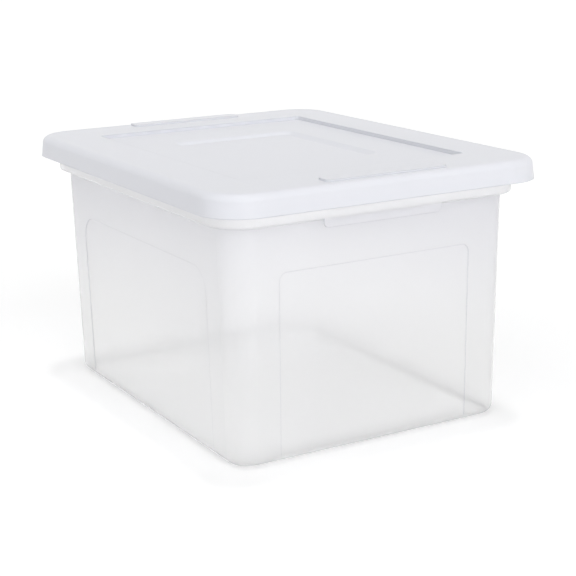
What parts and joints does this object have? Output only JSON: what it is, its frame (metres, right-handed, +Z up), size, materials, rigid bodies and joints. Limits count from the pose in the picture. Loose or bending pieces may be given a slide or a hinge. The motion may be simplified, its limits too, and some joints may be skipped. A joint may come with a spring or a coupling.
{
  "type": "portable file box",
  "caption": "Translucent plastic file box with a drafted tub, moulded-in hanging rails, end grips and a lift-off stacking lid.",
  "frame": {"origin": "middle of the underside, on the surface that the box stands on", "axes": "+Z up, +Y along the box's length, +X across it; the grips are on the two ends that face along Y"},
  "size_m": [0.362, 0.457, 0.268],
  "materials": {
    "tub_plastic": "natural translucent polypropylene, fine satin outside",
    "lid_plastic": "natural translucent polypropylene, satin"
  },
  "bodies": {
    "tub": {"tub": "tub_plastic"},
    "lid": {"lid": "lid_plastic"}
  },
  "joints": [
    {"name": "lid_lift", "type": "slide", "parent": "tub", "child": "lid", "axis": [0, 0, 1], "range_m": [0, 0.25]}
  ]
}
